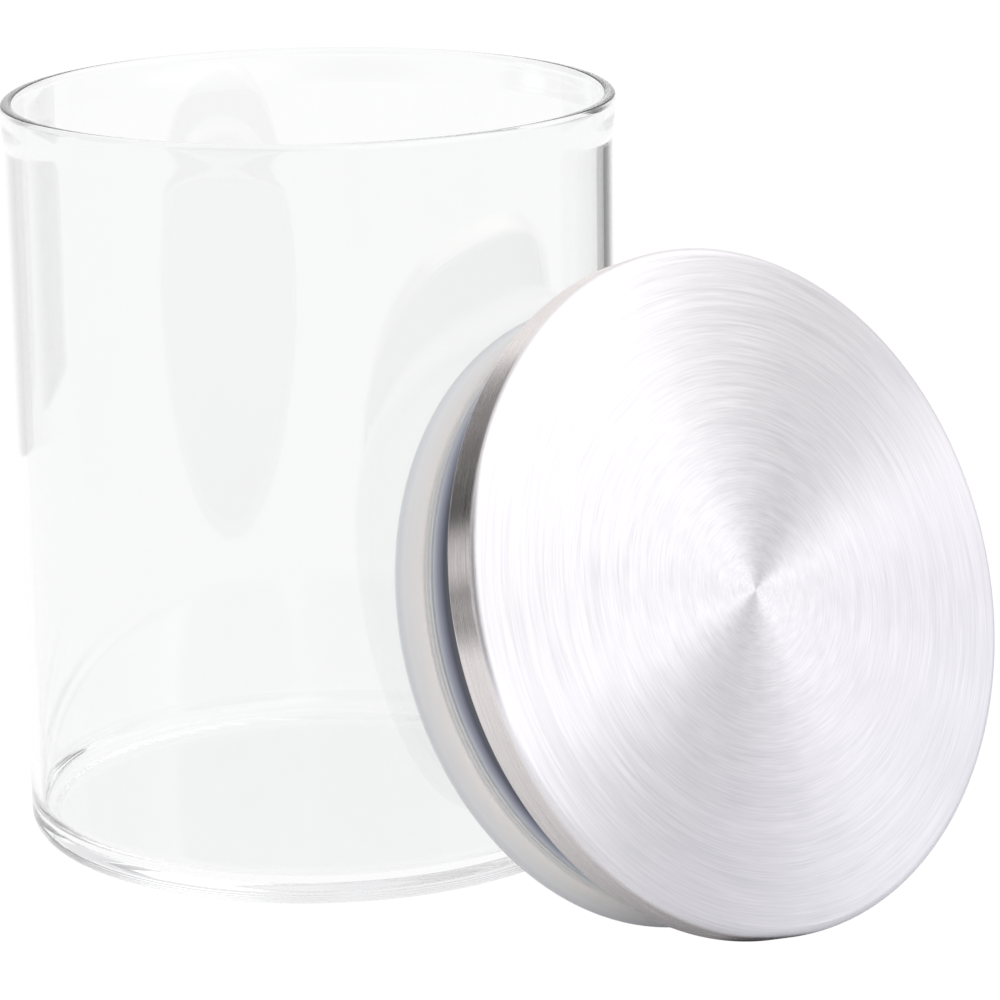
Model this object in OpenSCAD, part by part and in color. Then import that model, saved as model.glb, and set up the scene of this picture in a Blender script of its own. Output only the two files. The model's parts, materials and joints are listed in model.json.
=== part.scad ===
// Lidded glass canister: a thin-walled glass jar and a loose push-in lid with a silicone seal.
// The lid is off the jar. It stands on edge on the table and leans back against the jar wall.
// Origin: centre of the jar's base, on the table. +Z is up and -Y is the front.
// Each lid piece is drawn in the lid's own frame, with the face at height 0 and its normal
// along +Z, and is then set in the leaning pose.

/* [Jar] */
// Outside diameter of the glass wall
jar_od = 100; // [80:1:120]
// Height of the rim above the table
jar_h = 123.5; // [90:0.5:180]
// Thickness of the glass wall
wall_t = 1.7; // [1.5:0.1:2.4]
// Thickness of the glass floor
floor_t = 3; // [2.5:0.5:5]
// How far the fire-polished rim stands out from the wall
rim_proud = 0.4; // [0.2:0.1:0.8]
// Height over which the wall thickens into the rim
rim_run = 7; // [4:1:12]
// Outside radius of the heel, where the wall meets the floor
heel_r = 3; // [2:0.5:6]
// Inside radius between the wall and the floor
inner_heel_r = 4; // [2:0.5:6]

/* [Lid cap] */
// How far the cap overhangs the jar wall, all round
cap_overhang = 3.8; // [2.4:0.2:5]
// Depth of the cap's skirt below its face
skirt_h = 7; // [5:0.5:9]
// Thickness of the steel sheet of the cap and the pan
sheet_t = 0.6; // [0.5:0.1:0.8]
// Outside radius of the rounded edge between the face and the skirt
edge_r = 1.4; // [1:0.2:2.4]
// Thickness of the hem that is rolled inwards at the skirt's bottom edge
hem_t = 1.4; // [1.2:0.1:1.8]

/* [Pan] */
// Clearance between the pan's neck and the jar mouth, where the seal goes
neck_gap = 3.2; // [2.6:0.2:4]
// Depth of the pan's underside below the lid's face
pan_depth = 24; // [21:0.5:24]
// Radius of the bead that holds the seal up
bead_r = 1; // [0.6:0.1:1.2]

/* [Seal] */
// Depth of the seal's lip below the lid's face
lip_depth = 25; // [25:0.5:28]
// How much larger the free lip is than the jar mouth, on the radius
lip_bite = 1.7; // [0.5:0.1:2]
// Thickness of the lip at its rounded edge
lip_t = 1.2; // [1:0.1:1.6]
// Depth of the seal's top edge below the lid's face
seal_top = 9; // [8:0.5:10]
// Number of fine ribs round the seal
rib_count = 3; // [1:1:4]
// Distance between the ribs
rib_pitch = 0.9; // [0.8:0.1:1.2]

/* [Leaning pose] */
// Tilt of the lid's face up from vertical, in degrees
lean = 20.5; // [15:0.5:35]
// Direction that the face looks in plan, in degrees from +X
face_heading = -51; // [-70:0.5:-30]
// Direction from the jar to the lid in plan, in degrees from +X
lid_bearing = -44; // [-60:0.5:-30]
// Gap left between the lid and the jar's widest point
lean_gap = 0.3; // [0.3:0.1:1]

/* [Hidden] */
$fn = 180;

// Glass
wall_r = jar_od / 2;
mouth_r = wall_r - wall_t;
rim_r = wall_r + rim_proud;
rim_round = (rim_r - mouth_r) / 2;

// Lid
cap_r = wall_r + cap_overhang;
hem_round = hem_t / 2;
hem_rise = 1;
neck_r = mouth_r - neck_gap;
flange_gap = 0.2;
flange_r = cap_r - edge_r - flange_gap;
lip_round = lip_t / 2;
lip_centre = [mouth_r + lip_bite - lip_round, lip_depth - lip_round];
hem_centre = [cap_r - hem_round, skirt_h - hem_round];

// Seal section: a collar on the neck swells into a ribbed body, which flares into the lip
collar_t = 0.9;
body_r = mouth_r - 0.1;
body_depth = 17.4;
rib_r = 0.3;
first_rib = body_depth + 0.4;
flare_depth = first_rib + rib_count * rib_pitch;
foot_gap = 0.2;
seal_foot = pan_depth - 2 * bead_r;
curve_steps = 8;

// Height and reach of the leaning lid. Its outermost edges are two round rings, the seal's lip
// and the cap's hem: [radius, depth below the face, radius of the rounding].
EDGES = [
    [lip_centre.x, lip_centre.y, lip_round],
    [hem_centre.x, hem_centre.y, hem_round]
];
lid_z = max([for (e = EDGES) e.y * sin(lean) + e.x * cos(lean) + e.z]);
lid_reach = lean_reach(wall_r, wall_r + 2 * cap_r);
lid_centre = [lid_reach * cos(lid_bearing), lid_reach * sin(lid_bearing), lid_z];

// A point in plan on one of the lid's rings, at the angle t round it
function ring_point(e, t) = let (
    down = e.x * cos(t) * sin(lean) - e.y * cos(lean),
    across = e.x * sin(t)
) [
    down * cos(face_heading) - across * sin(face_heading),
    down * sin(face_heading) + across * cos(face_heading)
];

// Gap between the lid and the jar's rim when the face centre is at this reach
function rim_gap(reach) = min([
    for (e = EDGES, t = [0:2:358])
        norm(ring_point(e, t) + reach * [cos(lid_bearing), sin(lid_bearing)]) - e.z - rim_r
]);

// The reach at which the lid just leans on the jar, found by halving
function lean_reach(near, far, steps = 24) =
    steps == 0 ? far
    : let (middle = (near + far) / 2)
        rim_gap(middle) > lean_gap ? lean_reach(near, middle, steps - 1)
        : lean_reach(middle, far, steps - 1);

// Points along a round stretch of an outline, about c, from one angle to another
function arc(c, r, from, to, steps = 6) =
    [for (i = [0:steps]) let (a = from + (to - from) * i / steps) c + r * [cos(a), sin(a)]];

// A smooth step from 0 to 1
function ease(u) = u * u * (3 - 2 * u);

// Sets a lid piece in the leaning pose
module leaning() {
    translate(lid_centre) rotate([0, 90 - lean, face_heading]) children();
}

// A round section from the axis out to r, between two heights, with its bottom edge rounded
module rounded_foot(r, low, high, round_r) {
    translate([0, low]) square([r - round_r, high - low]);
    translate([0, low + round_r]) square([r, high - low - round_r]);
    translate([r - round_r, low + round_r]) circle(round_r);
}

// Jar: straight wall, rounded heel, flat base and a rim thickened outwards
module glass_jar() {
    color([0.86, 0.93, 0.93, 0.35]) rotate_extrude() difference() {
        union() {
            rounded_foot(wall_r, 0, jar_h - rim_round, heel_r);
            polygon([
                [0, jar_h - rim_run], [wall_r, jar_h - rim_run],
                [rim_r, jar_h - rim_round], [0, jar_h - rim_round]
            ]);
            translate([mouth_r + rim_round, jar_h - rim_round]) circle(rim_round);
        }
        rounded_foot(mouth_r, floor_t, jar_h - rim_round, inner_heel_r);
        square_top();
    }
}

// Space above the mouth, inside the rounded rim
module square_top() {
    translate([0, jar_h - rim_round]) square([mouth_r, 2 * rim_round]);
}

// Cap: flat face, rounded edge, skirt and a hem rolled inwards
module lid_cap() {
    inner_r = cap_r - sheet_t;
    color([0.80, 0.80, 0.81]) leaning() rotate_extrude() {
        difference() {
            mirror([0, 1]) rounded_foot(cap_r, 0, hem_centre.y, edge_r);
            mirror([0, 1]) rounded_foot(inner_r, sheet_t, skirt_h, edge_r - sheet_t);
        }
        translate([cap_r - hem_t, -hem_centre.y]) square([hem_t, hem_rise]);
        translate([hem_centre.x, -hem_centre.y]) circle(hem_round);
    }
}

// Pan: a drawn cup under the cap, with a flange, a neck and a bead that holds the seal up
module lid_pan() {
    bore_r = neck_r - sheet_t;
    color([0.62, 0.62, 0.63]) leaning() rotate_extrude() polygon(concat(
        [[0, -pan_depth]],
        arc([neck_r, bead_r - pan_depth], bead_r, -90, 90),
        [[neck_r, -2 * sheet_t], [flange_r, -2 * sheet_t], [flange_r, -sheet_t]],
        [[bore_r, -sheet_t], [bore_r, sheet_t - pan_depth], [0, sheet_t - pan_depth]]
    ));
}

// Seal: one moulded silicone ring, a smooth body with fine ribs and a flared lip
module seal_ring() {
    swell = [for (i = [0:curve_steps]) let (u = i / curve_steps) [
        neck_r + collar_t + (body_r - neck_r - collar_t) * ease(u),
        -seal_top - (body_depth - seal_top) * u
    ]];
    ribs = [for (i = [0:rib_count - 1]) each arc([body_r, -first_rib - i * rib_pitch], rib_r, 90, -90)];
    flare = [for (i = [0:curve_steps - 1]) let (u = i / curve_steps) [
        body_r + (lip_centre.x + lip_round - body_r) * u * u,
        -flare_depth - (lip_centre.y - flare_depth) * u
    ]];
    color([0.88, 0.88, 0.86, 0.9]) leaning() rotate_extrude() polygon(concat(
        [[neck_r, -seal_top]], swell, ribs, flare,
        arc([lip_centre.x, -lip_centre.y], lip_round, 0, -180),
        [[neck_r + bead_r + foot_gap, -seal_foot], [neck_r, -seal_foot]]
    ));
}

glass_jar();
lid_cap();
lid_pan();
seal_ring();
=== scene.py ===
import json
import math

import bmesh
import bpy
from mathutils import Matrix, Vector


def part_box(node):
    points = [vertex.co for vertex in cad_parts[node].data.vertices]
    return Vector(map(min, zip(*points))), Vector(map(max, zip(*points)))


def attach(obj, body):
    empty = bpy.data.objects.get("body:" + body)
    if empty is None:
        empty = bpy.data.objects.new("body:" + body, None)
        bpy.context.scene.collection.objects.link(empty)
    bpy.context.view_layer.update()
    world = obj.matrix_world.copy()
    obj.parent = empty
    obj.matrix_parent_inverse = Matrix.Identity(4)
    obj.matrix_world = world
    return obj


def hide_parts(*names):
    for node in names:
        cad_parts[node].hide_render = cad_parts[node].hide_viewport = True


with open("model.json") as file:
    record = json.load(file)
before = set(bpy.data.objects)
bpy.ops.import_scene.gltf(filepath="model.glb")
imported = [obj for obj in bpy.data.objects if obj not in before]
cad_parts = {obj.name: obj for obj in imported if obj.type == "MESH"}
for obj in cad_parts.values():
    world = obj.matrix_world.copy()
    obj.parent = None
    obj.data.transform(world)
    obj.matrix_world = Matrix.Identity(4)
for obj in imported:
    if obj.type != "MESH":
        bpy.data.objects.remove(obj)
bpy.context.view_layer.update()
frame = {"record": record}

MM = 0.001

# ---------------------------------------------------------------- sizes
# The jar's height, rim and mouth are read from the frame, and the other sizes are set here
JAR_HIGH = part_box("glass_jar")[1]
JAR_H = JAR_HIGH.z
RIM_R = JAR_HIGH.x
MOUTH_R = next(m for m in frame["record"]["mounts"] if m["name"] == "mouth")["dims"]["r_mm"] * MM
RIM_ROUND = (RIM_R - MOUTH_R) / 2
WALL_R = RIM_R - 0.4 * MM
# The wall swells to the rim over the run, and a ring below keeps the wall under it straight
RIM_RUN = 7 * MM
RIM_HOLD = 9 * MM
FLOOR_T = 3.0 * MM
HEEL_R = 3.0 * MM
INNER_HEEL_R = 4.0 * MM

# The lid's own frame: its face centre, with the face normal from the lean and the heading
LEAN = math.radians(20.5)
HEADING = math.radians(-51)
CAP_R = 53.8 * MM
SKIRT_H = 7.0 * MM
SHEET_T = 0.6 * MM
NECK_R = 45.1 * MM
SEAL_TOP = 9 * MM
LID_CENTRE = Vector((66.0427, -63.7766, 55.4167)) * MM
LID_POSE = (
    Matrix.Translation(LID_CENTRE)
    @ Matrix.Rotation(HEADING, 4, "Z")
    @ Matrix.Rotation(math.pi / 2 - LEAN, 4, "Y")
)
LID_AXIS = LID_POSE.to_3x3() @ Vector((0, 0, 1))
# The face's brushed circles are centred slightly off the cap's own axis
BRUSH_OFFSET = (0.5 * MM, 0.94 * MM, 0)
BRUSH_POSE = LID_POSE @ Matrix.Translation(BRUSH_OFFSET)

# Outline points closer to the axis than this are on it
ON_AXIS = 1e-7
# Extra rings this far from a rounding keep the flat beside it flat
HOLD = 0.5 * MM
SHORT_HOLD = 0.3 * MM
EDGE_HOLD = 0.2 * MM


def arc(cx, cz, r, start, end, steps=10):
    """Points along a round stretch of an outline, angles in degrees."""
    return [
        (cx + r * math.cos(math.radians(a)), cz + r * math.sin(math.radians(a)))
        for a in (start + (end - start) * i / steps for i in range(steps + 1))
    ]


def lathe(name, outline, segments, pose=Matrix()):
    """A solid of revolution about Z from a closed outline of (radius, height), set in a pose."""
    bm = bmesh.new()
    rings = []
    for r, z in outline:
        if r < ON_AXIS:
            rings.append([bm.verts.new((0, 0, z))])
        else:
            rings.append([
                bm.verts.new((r * math.cos(t), r * math.sin(t), z))
                for t in (2 * math.pi * k / segments for k in range(segments))
            ])
    for a, b in zip(rings, rings[1:] + [rings[0]]):
        if len(a) == 1 and len(b) == 1:
            continue
        for k in range(segments):
            j = (k + 1) % segments
            if len(a) == 1:
                bm.faces.new((a[0], b[k], b[j]))
            elif len(b) == 1:
                bm.faces.new((a[k], b[0], a[j]))
            else:
                bm.faces.new((a[k], b[k], b[j], a[j]))
    bmesh.ops.recalc_face_normals(bm, faces=bm.faces)
    for f in bm.faces:
        f.smooth = True
    mesh = bpy.data.meshes.new(name)
    bm.to_mesh(mesh)
    bm.free()
    mesh.transform(pose)
    obj = bpy.data.objects.new(name, mesh)
    bpy.context.scene.collection.objects.link(obj)
    return obj


# ---------------------------------------------------------------- materials
def new_material(name):
    mat = bpy.data.materials.new(name)
    mat.use_nodes = True
    tree = mat.node_tree
    tree.nodes.clear()
    out = tree.nodes.new("ShaderNodeOutputMaterial")
    return mat, tree, out


def add(tree, kind, values=None):
    """A node with constants on the inputs that are named."""
    node = tree.nodes.new(kind)
    for key, value in (values or {}).items():
        node.inputs[key].default_value = value
    return node


def feed(tree, socket, value):
    """Links a socket's value in, or sets it as a constant."""
    if isinstance(value, bpy.types.NodeSocket):
        tree.links.new(value, socket)
    else:
        socket.default_value = value


def maths(tree, operation, *values):
    """A Math node; the values are sockets or numbers."""
    node = tree.nodes.new("ShaderNodeMath")
    node.operation = operation
    for socket, value in zip(node.inputs, values):
        feed(tree, socket, value)
    return node.outputs[0]


def weighted(tree, a, share_a, b, share_b):
    """Two values summed by their shares."""
    return maths(
        tree, "ADD", maths(tree, "MULTIPLY", a, share_a), maths(tree, "MULTIPLY", b, share_b)
    )


def vector_maths(tree, operation, a, b, result="Vector"):
    """A Vector Math node; a and b are sockets or vectors."""
    node = tree.nodes.new("ShaderNodeVectorMath")
    node.operation = operation
    feed(tree, node.inputs[0], a)
    feed(tree, node.inputs[1], b)
    return node.outputs[result]


def ramp(tree, value, low, high, to_low, to_high, interpolation="LINEAR"):
    """A value carried from one range to another, and held at its ends."""
    node = add(tree, "ShaderNodeMapRange", {
        "From Min": low, "From Max": high, "To Min": to_low, "To Max": to_high,
    })
    node.interpolation_type = interpolation
    tree.links.new(value, node.inputs["Value"])
    return node.outputs[0]


def blend_colour(tree, factor, a, b, mode="MIX"):
    """Two colours blended by a factor; each is a socket or an RGB triple."""
    node = tree.nodes.new("ShaderNodeMix")
    node.data_type = "RGBA"
    node.blend_type = mode
    feed(tree, node.inputs["Factor"], factor)
    for key, colour in (("A", a), ("B", b)):
        feed(tree, node.inputs[key], (*colour, 1) if isinstance(colour, tuple) else colour)
    return node.outputs["Result"]


def mix_shaders(tree, factor, first, second, out):
    """Two shader nodes mixed by a factor, as the material's surface."""
    mix = tree.nodes.new("ShaderNodeMixShader")
    tree.links.new(factor, mix.inputs[0])
    tree.links.new(first.outputs[0], mix.inputs[1])
    tree.links.new(second.outputs[0], mix.inputs[2])
    tree.links.new(mix.outputs[0], out.inputs["Surface"])


def noise(tree, vector, scale, roughness=0.5):
    node = add(tree, "ShaderNodeTexNoise", {"Scale": scale, "Detail": 2, "Roughness": roughness})
    tree.links.new(vector, node.inputs["Vector"])
    return node.outputs["Fac"]


def coordinates(tree, name="Object"):
    return tree.nodes.new("ShaderNodeTexCoord").outputs[name]


def split_xyz(tree, vector):
    split = tree.nodes.new("ShaderNodeSeparateXYZ")
    tree.links.new(vector, split.inputs[0])
    return split.outputs


def turned_space(tree, pose):
    """Coordinates in a turned piece's own frame, its axis along Z, from its object coordinates."""
    back = pose.inverted()
    mapping = add(tree, "ShaderNodeMapping", {
        "Location": back.to_translation(), "Rotation": back.to_euler(),
    })
    tree.links.new(coordinates(tree), mapping.inputs["Vector"])
    return mapping.outputs[0]


def round_direction(tree, pose):
    """The direction round a turned piece's axis, for the grooves that a lathe leaves."""
    arm = vector_maths(tree, "SUBTRACT", coordinates(tree), pose.to_translation())
    axis = pose.to_3x3() @ Vector((0, 0, 1))
    turned = tree.nodes.new("ShaderNodeVectorTransform")
    turned.vector_type = "VECTOR"
    turned.convert_from = "OBJECT"
    turned.convert_to = "WORLD"
    tree.links.new(vector_maths(tree, "CROSS_PRODUCT", axis, arm), turned.inputs[0])
    return turned.outputs[0]


# The least radius that is divided by, for points on the axis itself
GROOVE_CORE = 0.2 * MM


def groove_space(tree, pose, stretch):
    """Noise coordinates, slow round the axis and fast across the grooves; with (x, y) and z."""
    x, y, z = split_xyz(tree, turned_space(tree, pose))
    squares = [maths(tree, "MULTIPLY", side, side) for side in (x, y)]
    radius = maths(tree, "SQRT", maths(tree, "ADD", *squares))
    safe = maths(tree, "MAXIMUM", radius, GROOVE_CORE)
    merged = tree.nodes.new("ShaderNodeCombineXYZ")
    for socket, side in zip(merged.inputs, (x, y)):
        unit = maths(tree, "DIVIDE", side, safe)
        tree.links.new(maths(tree, "MULTIPLY", unit, stretch), socket)
    tree.links.new(maths(tree, "SUBTRACT", radius, z), merged.inputs[2])
    return merged.outputs[0], (x, y), z


def glass_material():
    """Clear glass that lets shadow rays straight through."""
    mat, tree, out = new_material("clear_glass")
    glass = add(tree, "ShaderNodeBsdfPrincipled", {
        "Base Color": (0.958, 0.961, 0.960, 1),
        "Roughness": 0.0,
        "IOR": 1.473,
        "Transmission Weight": 1.0,
    })
    clear = add(tree, "ShaderNodeBsdfTransparent", {"Color": (0.97, 0.975, 0.975, 1)})
    path = tree.nodes.new("ShaderNodeLightPath")
    mix_shaders(tree, path.outputs["Is Shadow Ray"], glass, clear, out)
    return mat


WHITE = (1, 1, 1)
STEEL = (0.96, 0.945, 0.96)
STEEL_TINT = (0.99, 0.965, 0.975)
PAN_STEEL = (0.50, 0.515, 0.54)
# Painted shadow: the pan's steel is painted near black deeper than the seal's top, where the slot
# between cap and seal lies in shade, fading in over this length
SLOT_PAINTED_SHADOW = (0.015, 0.017, 0.02)
SLOT_SHADOW_FADE = 2 * MM

# Painted shade: the steel is untinted at the face's upper left and painted cooler and darker towards
# its lower right, as if in soft shadow
PAINTED_SHADE_TINT = (0.84, 0.85, 0.885)
UNSHADED_SIDE = (-0.934, -0.358)
PAINTED_SHADE_REACH = 50 * MM
# It is warmer below the rounded edge
SKIRT_TINT = (1.0, 0.962, 0.925)
SKIRT_TINT_RANGE = (-1.6 * MM, -1.0 * MM)
# The face's roughness changes to the side's over these heights
SIDE_RANGE = (-1.2 * MM, -0.3 * MM)

GROOVE_STRETCH = 0.9 * MM
GROOVE_ROUGHNESS = 0.6
FINE_SCALE = 5600
FINE_SHARE = 0.6
COARSE_SCALE = 2900
COARSE_SHARE = 0.4
# The middle stretch of the noise, carried from dark grooves to bright ones
SHADE_RANGE = (0.36, 0.64)
# The coarse noise's middle stretch scales the roughness by these
STREAK_RANGE = (0.3, 0.7)
STREAK_ROUGHNESS = (1.1, 0.9)
GROOVE_BUMP = {"Strength": 0.08, "Distance": 0.02 * MM}
# Anisotropic Rotation is in turns, from the direction round the axis
QUARTER_TURN = 0.25


def brushed_material(
    name, pose, colour, tint, face_roughness, side_roughness, anisotropy, contrast, painted_slot_shadow=None
):
    """Steel brushed in circles round the pose's axis; an optional last argument, (depth, colour),
    paints shadow over the steel deeper than that depth.
    """
    mat, tree, out = new_material(name)
    link = tree.links.new
    grooves, local, height = groove_space(tree, pose, GROOVE_STRETCH)
    fine = noise(tree, grooves, FINE_SCALE, GROOVE_ROUGHNESS)
    coarse = noise(tree, grooves, COARSE_SCALE, GROOVE_ROUGHNESS)
    both = weighted(tree, fine, FINE_SHARE, coarse, COARSE_SHARE)
    shade = ramp(tree, both, *SHADE_RANGE, 0, 1)
    low = tuple(c * (1 - contrast) for c in colour)
    surface = blend_colour(tree, shade, low, tint)
    # Painted shade: the colour darkens and cools across the face, away from its upper left
    toward_unshaded_side = weighted(tree, local[0], UNSHADED_SIDE[0], local[1], UNSHADED_SIDE[1])
    across = ramp(tree, toward_unshaded_side, -PAINTED_SHADE_REACH, PAINTED_SHADE_REACH, 0, 1)
    rim = ramp(tree, height, *SKIRT_TINT_RANGE, 0, 1)
    # The first multiply is painted shade across the face; the second is the warmer tint below the
    # rounded edge
    for factor, shift in ((across, PAINTED_SHADE_TINT), (rim, SKIRT_TINT)):
        surface = blend_colour(tree, 1, surface, blend_colour(tree, factor, shift, WHITE), "MULTIPLY")
    # Painted shadow in the slot: near black deeper than the given depth
    if painted_slot_shadow:
        depth, dark = painted_slot_shadow
        in_slot_shadow = ramp(tree, height, -depth - SLOT_SHADOW_FADE, -depth, 0, 1)
        surface = blend_colour(tree, in_slot_shadow, surface, dark)
    base = ramp(tree, height, *SIDE_RANGE, side_roughness, face_roughness)
    streaks = ramp(tree, coarse, *STREAK_RANGE, *STREAK_ROUGHNESS)
    steel = add(tree, "ShaderNodeBsdfPrincipled", {
        "Metallic": 1.0,
        "Anisotropic": anisotropy,
        "Anisotropic Rotation": QUARTER_TURN,
    })
    link(surface, steel.inputs["Base Color"])
    link(maths(tree, "MULTIPLY", base, streaks), steel.inputs["Roughness"])
    link(round_direction(tree, pose), steel.inputs["Tangent"])
    bump = add(tree, "ShaderNodeBump", GROOVE_BUMP)
    link(both, bump.inputs["Height"])
    link(bump.outputs[0], steel.inputs["Normal"])
    link(steel.outputs[0], out.inputs["Surface"])
    return mat


SILICONE_AND_PAINTED_SHADE = [
    # depth below the lid's face in mm, colour: painted shadow, near black, in the slot under the cap;
    # painted shade, blue-grey, under the cap's overhang, where the dark neck also shows through; pale
    # milky rubber towards the free lip, with a painted highlight as a pale line at its very edge
    (9.0, (0.002, 0.002, 0.002)),
    (13.2, (0.004, 0.004, 0.004)),
    (13.6, (0.16, 0.16, 0.165)),
    (14.3, (0.20, 0.20, 0.215)),
    (15.2, (0.16, 0.17, 0.21)),
    (16.2, (0.36, 0.38, 0.46)),
    (17.2, (0.60, 0.63, 0.69)),
    (17.7, (0.80, 0.81, 0.82)),
    (18.8, (0.82, 0.81, 0.80)),
    (20.0, (0.97, 0.935, 0.90)),
    (22.2, (0.99, 0.97, 0.95)),
    (23.4, (0.97, 0.97, 0.975)),
    (24.2, (0.86, 0.875, 0.90)),
    (24.7, (0.99, 0.99, 0.99)),
]
SILICONE_END = 25.0
CLOUD_STRETCH = 3 * MM
CLOUD_SCALE = 900
CLOUD_DEPTH = 0.03


def silicone_painted_shade_material(pose):
    """Milky silicone, pale where it stands free, with painted shadow in the slot under the cap and
    painted shade under its overhang, where the dark neck also shows through.
    """
    mat, tree, out = new_material("silicone")
    grain, _, height = groove_space(tree, pose, CLOUD_STRETCH)
    shade = tree.nodes.new("ShaderNodeValToRGB")
    bands = shade.color_ramp
    low, high = SILICONE_AND_PAINTED_SHADE[0][0], SILICONE_END
    while len(bands.elements) < len(SILICONE_AND_PAINTED_SHADE):
        bands.elements.new(0.5)
    for element, (depth, colour) in zip(bands.elements, SILICONE_AND_PAINTED_SHADE):
        element.position = (depth - low) / (high - low)
        element.color = (*colour, 1)
    centred = maths(tree, "SUBTRACT", noise(tree, grain, CLOUD_SCALE), 0.5)
    cloud = maths(tree, "MULTIPLY", centred, CLOUD_DEPTH)
    along = ramp(tree, height, -low * MM, -high * MM, 0, 1)
    # The bands, painted shade and shadow included, follow the depth below the face
    tree.links.new(maths(tree, "ADD", along, cloud), shade.inputs[0])
    rubber = add(tree, "ShaderNodeBsdfPrincipled", {
        "Roughness": 0.45,
        "IOR": 1.41,
        "Specular IOR Level": 0.04,
        "Subsurface Weight": 0.1,
        "Subsurface Radius": (1, 1, 1),
        "Subsurface Scale": 0.4 * MM,
    })
    tree.links.new(shade.outputs["Color"], rubber.inputs["Base Color"])
    tree.links.new(rubber.outputs[0], out.inputs["Surface"])
    return mat


# ---------------------------------------------------------------- pieces
def finish_piece(obj, material, node, body):
    obj.data.materials.append(material)
    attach(obj, body)
    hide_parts(node)


def jar_outline():
    run_foot = JAR_H - RIM_RUN
    outer = [(0, 0), (WALL_R - HEEL_R - SHORT_HOLD, 0)]
    outer += arc(WALL_R - HEEL_R, HEEL_R, HEEL_R, -90, 0, 12)
    outer += [(WALL_R, HEEL_R + HOLD), (WALL_R, JAR_H - RIM_HOLD), (WALL_R, run_foot)]
    outer += [
        (WALL_R + (RIM_R - WALL_R) * (3 * u * u - 2 * u**3), run_foot + (RIM_RUN - RIM_ROUND) * u)
        for u in (i / 10 for i in range(1, 10))
    ]
    outer += arc(MOUTH_R + RIM_ROUND, JAR_H - RIM_ROUND, RIM_ROUND, 0, 180, 20)
    heel_top = FLOOR_T + INNER_HEEL_R
    inner = [(MOUTH_R, JAR_H - RIM_ROUND - HOLD), (MOUTH_R, heel_top + HOLD)]
    inner += arc(MOUTH_R - INNER_HEEL_R, heel_top, INNER_HEEL_R, 0, -90, 12)
    inner += [(MOUTH_R - INNER_HEEL_R - HOLD, FLOOR_T), (0, FLOOR_T)]
    return outer + inner


def cap_outline():
    edge, hem, rise, crown, rings = 1.4 * MM, 1.4 * MM, 1.0 * MM, 0.4 * MM, 24
    inner_drop = 0.2 * MM
    hem_r = hem / 2
    hem_z = -SKIRT_H + hem_r
    flat_r = CAP_R - edge
    # The face is very slightly crowned, as pressed sheet is
    points = [(flat_r * i / rings, -crown * (i / rings) ** 2) for i in range(rings)]
    tilt = math.degrees(2 * crown / flat_r)
    points += arc(flat_r, -edge - crown, edge, 90 - tilt, 0, 12)
    points += [(CAP_R, -edge - crown - SHORT_HOLD), (CAP_R, hem_z + EDGE_HOLD)]
    points += arc(CAP_R - hem_r, hem_z, hem_r, 0, -180, 12)
    points += [(CAP_R - hem, hem_z + rise), (CAP_R - SHEET_T, hem_z + rise)]
    points += [(CAP_R - SHEET_T, -edge - inner_drop)]
    points += arc(flat_r, -edge - inner_drop, edge - SHEET_T, 0, 90, 8)
    points += [(0, -SHEET_T)]
    return points


def pan_outline():
    depth, bead, flange = 24 * MM, 1.0 * MM, 52.2 * MM
    points = [(0, -depth), (NECK_R - SHORT_HOLD, -depth)]
    points += arc(NECK_R, bead - depth, bead, -90, 90, 12)
    points += [(NECK_R, -2 * SHEET_T), (flange, -2 * SHEET_T), (flange, -SHEET_T)]
    points += [(NECK_R - SHEET_T, -SHEET_T), (NECK_R - SHEET_T, SHEET_T - depth)]
    points += [(0, SHEET_T - depth)]
    return points


def seal_outline():
    body, body_depth, collar_r = 48.2 * MM, 17.4 * MM, NECK_R + 0.9 * MM
    lip_x, lip_z, lip_r = 49.4 * MM, 24.4 * MM, 0.6 * MM
    foot_r, foot_z = 46.3 * MM, -22 * MM
    rib_r, pitch, ribs = 0.3 * MM, 0.9 * MM, 3
    shoulder_steps, flare_steps = 16, 12
    first = body_depth + 0.4 * MM
    flare = first + ribs * pitch
    points = [(NECK_R, -SEAL_TOP)]
    for i in range(shoulder_steps + 1):
        u = i / shoulder_steps
        swell = (body - collar_r) * u * u * (3 - 2 * u)
        points.append((collar_r + swell, -SEAL_TOP - (body_depth - SEAL_TOP) * u))
    for i in range(ribs):
        points += arc(body, -first - i * pitch, rib_r, 90, -90, 6)
    for i in range(flare_steps):
        u = i / flare_steps
        points.append((body + (lip_x + lip_r - body) * u * u, -flare - (lip_z - flare) * u))
    points += arc(lip_x, -lip_z, lip_r, 0, -180, 10)
    points += [(foot_r, foot_z), (NECK_R, foot_z)]
    return points


finish_piece(
    lathe("glass_jar_body", jar_outline(), 384),
    glass_material(), "glass_jar", "jar",
)
finish_piece(
    lathe("lid_cap_shell", cap_outline(), 384, LID_POSE),
    brushed_material(
        "brushed_cap_steel", BRUSH_POSE, STEEL, STEEL_TINT,
        face_roughness=0.37, side_roughness=0.26, anisotropy=1.0, contrast=0.10,
    ),
    "lid_cap", "lid",
)
finish_piece(
    lathe("lid_pan_cup", pan_outline(), 256, LID_POSE),
    brushed_material(
        "satin_pan_steel", LID_POSE, PAN_STEEL, PAN_STEEL,
        face_roughness=0.35, side_roughness=0.35, anisotropy=0.4, contrast=0.1,
        painted_slot_shadow=(SEAL_TOP, SLOT_PAINTED_SHADOW),
    ),
    "lid_pan", "lid",
)
finish_piece(
    lathe("seal_ring_lip", seal_outline(), 320, LID_POSE),
    silicone_painted_shade_material(LID_POSE), "seal_ring", "lid",
)

# ---------------------------------------------------------------- floor
FLOOR_SIZE = 12
FLOOR_Z = -0.1 * MM
FLOOR_GLOW = {"Color": (1, 1, 1, 1), "Strength": 1.02}
PAPER = (0.88, 0.88, 0.88)
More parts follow.
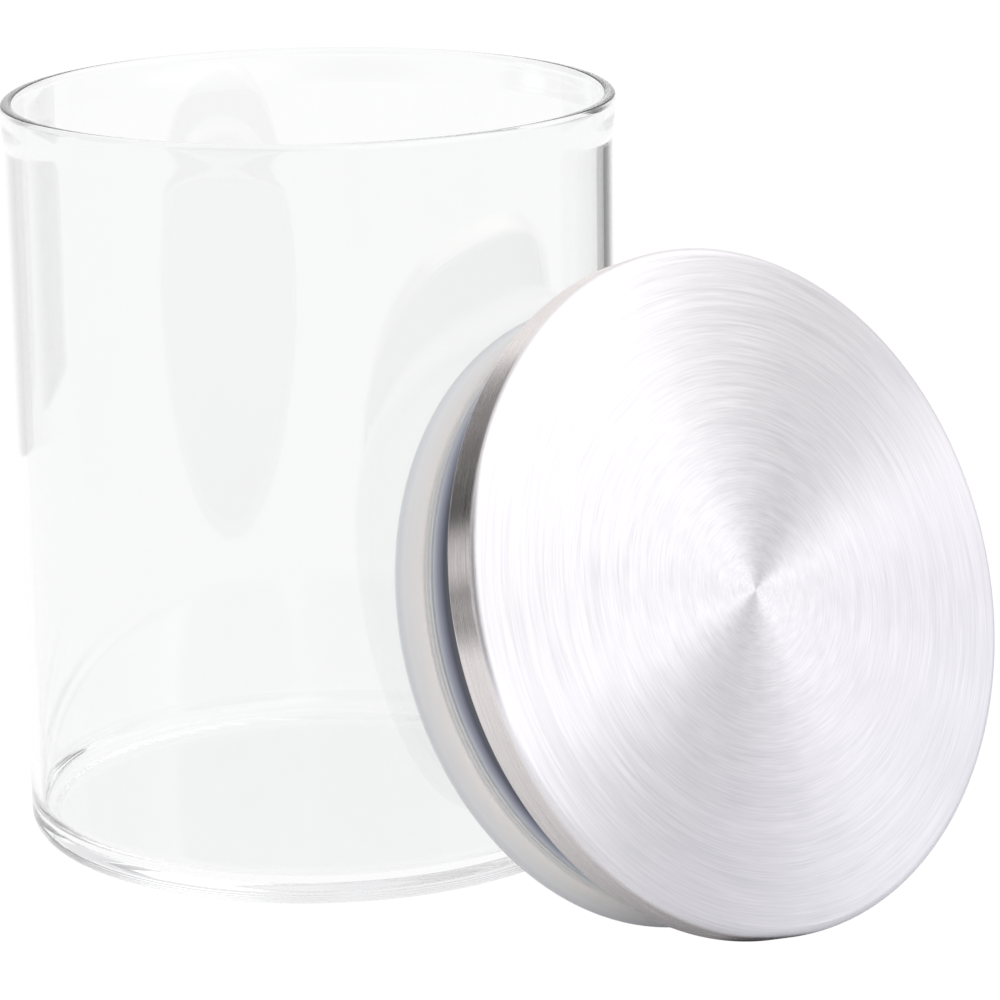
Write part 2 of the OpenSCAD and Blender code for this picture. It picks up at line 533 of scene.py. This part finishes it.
# The colour of the paper's painted shade and shadow
PAPER_PAINTED_SHADE = (0.01, 0.01, 0.01)
# Painted shade: the paper is painted darker to the right and behind, seen only in reflections: from
# this far, to this far, from 0 to its share
FAR_PAINTED_SHADE = (0.10, 0.26, 0, 0.5)
# A painted shadow at the foot of the lid's skirt, seen only in reflections: a wide soft patch and a
# dark core
LID_FOOT = (68 * MM, -77 * MM, 0)
FOOT_PAINTED_SHADOW = (15 * MM, 55 * MM, 0.15, 0)
FOOT_PAINTED_SHADOW_CORE = (6 * MM, 11 * MM, 1.0, 0)
# Ray Depth stays below this up to the first reflection from the camera
FIRST_BOUNCE = 1.5


def outer_mirror(tree, path):
    """1 for a sharp first reflection, which is the one off the jar's outside, and 0 otherwise."""
    early = maths(tree, "LESS_THAN", path.outputs["Ray Depth"], FIRST_BOUNCE)
    return maths(tree, "MULTIPLY", early, path.outputs["Is Singular Ray"])


def floor_material():
    """White paper: plain white to the eye, through glass and off its outside; elsewhere diffuse paper
    with painted shade and a painted shadow at the lid's foot.
    """
    mat, tree, out = new_material("floor_white_painted_shade")
    where = coordinates(tree)
    right, behind, _ = split_xyz(tree, where)
    away = vector_maths(tree, "DISTANCE", where, LID_FOOT, "Value")
    # Painted shade far off to the right and behind, and a painted shadow at the lid's foot, both seen
    # only in reflections
    far = maths(tree, "MAXIMUM", ramp(tree, right, *FAR_PAINTED_SHADE), ramp(tree, behind, *FAR_PAINTED_SHADE))
    near = maths(tree, "MAXIMUM", ramp(tree, away, *FOOT_PAINTED_SHADOW), ramp(tree, away, *FOOT_PAINTED_SHADOW_CORE))
    dark = maths(tree, "MAXIMUM", far, near)
    paper = tree.nodes.new("ShaderNodeBsdfDiffuse")
    tree.links.new(blend_colour(tree, dark, PAPER, PAPER_PAINTED_SHADE), paper.inputs["Color"])
    white = add(tree, "ShaderNodeEmission", FLOOR_GLOW)
    path = tree.nodes.new("ShaderNodeLightPath")
    seen = maths(tree, "MAXIMUM", path.outputs["Is Camera Ray"], path.outputs["Is Transmission Ray"])
    seen = maths(tree, "MAXIMUM", seen, outer_mirror(tree, path))
    mix_shaders(tree, seen, paper, white, out)
    return mat


def flat_sheet(name, width, height):
    """A flat rectangle in its own XY plane, for the floor and the studio's cards."""
    bm = bmesh.new()
    bmesh.ops.create_grid(bm, x_segments=2, y_segments=2, size=0.5)
    bmesh.ops.scale(bm, verts=bm.verts, vec=(width, height, 1))
    mesh = bpy.data.meshes.new(name)
    bm.to_mesh(mesh)
    bm.free()
    obj = bpy.data.objects.new(name, mesh)
    bpy.context.scene.collection.objects.link(obj)
    return obj


floor = flat_sheet("floor", FLOOR_SIZE, FLOOR_SIZE)
floor.location.z = FLOOR_Z
floor.data.materials.append(floor_material())


# ---------------------------------------------------------------- light
def heading(azimuth, elevation):
    """A unit vector: azimuth in degrees from +X towards +Y, elevation above the horizon."""
    a, e = math.radians(azimuth), math.radians(elevation)
    return Vector((math.cos(a) * math.cos(e), math.sin(a) * math.cos(e), math.sin(e)))


def soft_area(tree, direction, azimuth, elevation, inner, outer, gain):
    """A round soft-edged area of the sky: its gain inside the inner angle, nothing past the outer."""
    near = vector_maths(tree, "DOT_PRODUCT", direction, heading(azimuth, elevation), "Value")
    edge, core = (math.cos(math.radians(angle)) for angle in (outer, inner))
    return ramp(tree, near, edge, core, 0, gain, "SMOOTHSTEP")


AMBIENT = 0.80
SKY = [
    # azimuth, elevation, inner angle, outer angle, gain over the ambient
    (-40, 40, 24, 46, 0.72),
    (170, 8, 3, 10, 1.6),
    (100, 25, 10, 40, 0.10),
    (12, 50, 14, 34, 0.65),
    (-62, 8, 8, 26, 0.50),
    (-60, 50, 10, 28, 0.35),
    (-38, 18, 8, 22, 0.36),
    (-112, 27, 17, 35, -0.75),
]
# One more dark area, for glossy reflections other than the jar's outer ones
DARK_SKY = (158, 20, 28, 36, -0.80)
SKY_COLOUR = (0.99, 0.985, 1, 1)


def studio_world():
    """A soft pale studio with broad bright and dark areas, one of them for glossy reflections only."""
    world = bpy.data.worlds.new("studio")
    bpy.context.scene.world = world
    world.use_nodes = True
    tree = world.node_tree
    direction = coordinates(tree, "Generated")
    total = AMBIENT
    for area in SKY:
        total = maths(tree, "ADD", soft_area(tree, direction, *area), total)
    path = tree.nodes.new("ShaderNodeLightPath")
    others = maths(tree, "SUBTRACT", 1, outer_mirror(tree, path))
    in_steel = maths(tree, "MULTIPLY", path.outputs["Is Glossy Ray"], others)
    dark = maths(tree, "MULTIPLY", soft_area(tree, direction, *DARK_SKY), in_steel)
    back = tree.nodes["Background"]
    back.inputs["Color"].default_value = SKY_COLOUR
    tree.links.new(maths(tree, "ADD", dark, total), back.inputs["Strength"])


studio_world()

# Clear glass carries light along its walls by many inner reflections
GLASS_BOUNCES = 96

scene = bpy.context.scene
scene.view_settings.view_transform = "Standard"
scene.cycles.max_bounces = GLASS_BOUNCES
scene.cycles.glossy_bounces = GLASS_BOUNCES
scene.cycles.transmission_bounces = GLASS_BOUNCES

# ---------------------------------------------------------------- cards
BLACK = (0.02, 0.02, 0.022, 1)
# A low card to the left of the lid, which the rough steel shows
LID_MIDDLE = LID_CENTRE - LID_AXIS * 12 * MM
LOW_CARD_AZIMUTH = 172
LOW_CARD_DISTANCE = 0.30
LOW_CARD_Z = 0.022
LOW_CARD_SIZE = (0.24, 0.045)
# Cards behind the jar on both sides, which only the glass shows, as dark lines near its edges
SIDE_CARD_PLACE = (0.155, 0.2325, 0.037)
SIDE_CARD_AIM = (0.05, 0, 0.037)
SIDE_CARD_SIZE = (0.16, 0.075)
SIDE_CARD_FADE = 0.08
SIDE_CARDS = [
    # name, side of the jar, strength
    ("right_card", 1, 1),
    ("left_card", -1, 0.3),
]


def black_material(name, in_glass, fade, strength):
    """Matt black: for the glass it fades to clear along X, for the steel it is clear to sharp rays."""
    mat, tree, out = new_material(name)
    black = add(tree, "ShaderNodeBsdfDiffuse", {"Color": BLACK})
    clear = tree.nodes.new("ShaderNodeBsdfTransparent")
    if in_glass:
        across = split_xyz(tree, coordinates(tree))[0]
        clearness = ramp(tree, across, 0, fade, 1 - strength, 1)
    else:
        clearness = tree.nodes.new("ShaderNodeLightPath").outputs["Is Singular Ray"]
    mix_shaders(tree, clearness, black, clear, out)
    return mat


def black_card(name, place, aim, size, in_glass, fade=0, strength=1):
    """A black card that only the glass, or only rough reflections, show."""
    obj = flat_sheet(name, *size)
    obj.data.materials.append(black_material(name, in_glass, fade, strength))
    obj.location = place
    obj.rotation_euler = (Vector(aim) - Vector(place)).to_track_quat("-Z", "Y").to_euler()
    obj.visible_camera = False
    obj.visible_diffuse = False
    obj.visible_shadow = False
    obj.visible_glossy = not in_glass
    obj.visible_transmission = in_glass


low_place = LID_MIDDLE + heading(LOW_CARD_AZIMUTH, 0) * LOW_CARD_DISTANCE
low_place.z = LOW_CARD_Z
low_aim = (LID_MIDDLE.x, LID_MIDDLE.y, LOW_CARD_Z)
black_card("left_low_card", low_place, low_aim, LOW_CARD_SIZE, in_glass=False)
for name, side, strength in SIDE_CARDS:
    place, aim = ((side * x, y, z) for x, y, z in (SIDE_CARD_PLACE, SIDE_CARD_AIM))
    black_card(name, place, aim, SIDE_CARD_SIZE, True, side * SIDE_CARD_FADE, strength)

# ---------------------------------------------------------------- camera
CAM_DISTANCE = 681.5 * MM
CAM_HEIGHT = 233.35 * MM
CAM_YAW = math.radians(2.5613)
CAM_PITCH = math.radians(14.7598)
CAM_ROLL = math.radians(0.8249)
CAM_FOCAL = 4.1896
SENSOR = 36

data = bpy.data.cameras.new("camera")
data.sensor_width = SENSOR
data.lens = CAM_FOCAL * SENSOR
camera = bpy.data.objects.new("camera", data)
camera.location = (0, -CAM_DISTANCE, CAM_HEIGHT)
camera.rotation_euler = (
    Matrix.Rotation(-CAM_YAW, 3, "Z")
    @ Matrix.Rotation(math.pi / 2 - CAM_PITCH, 3, "X")
    @ Matrix.Rotation(-CAM_ROLL, 3, "Z")
).to_euler()
scene.collection.objects.link(camera)
scene.camera = camera
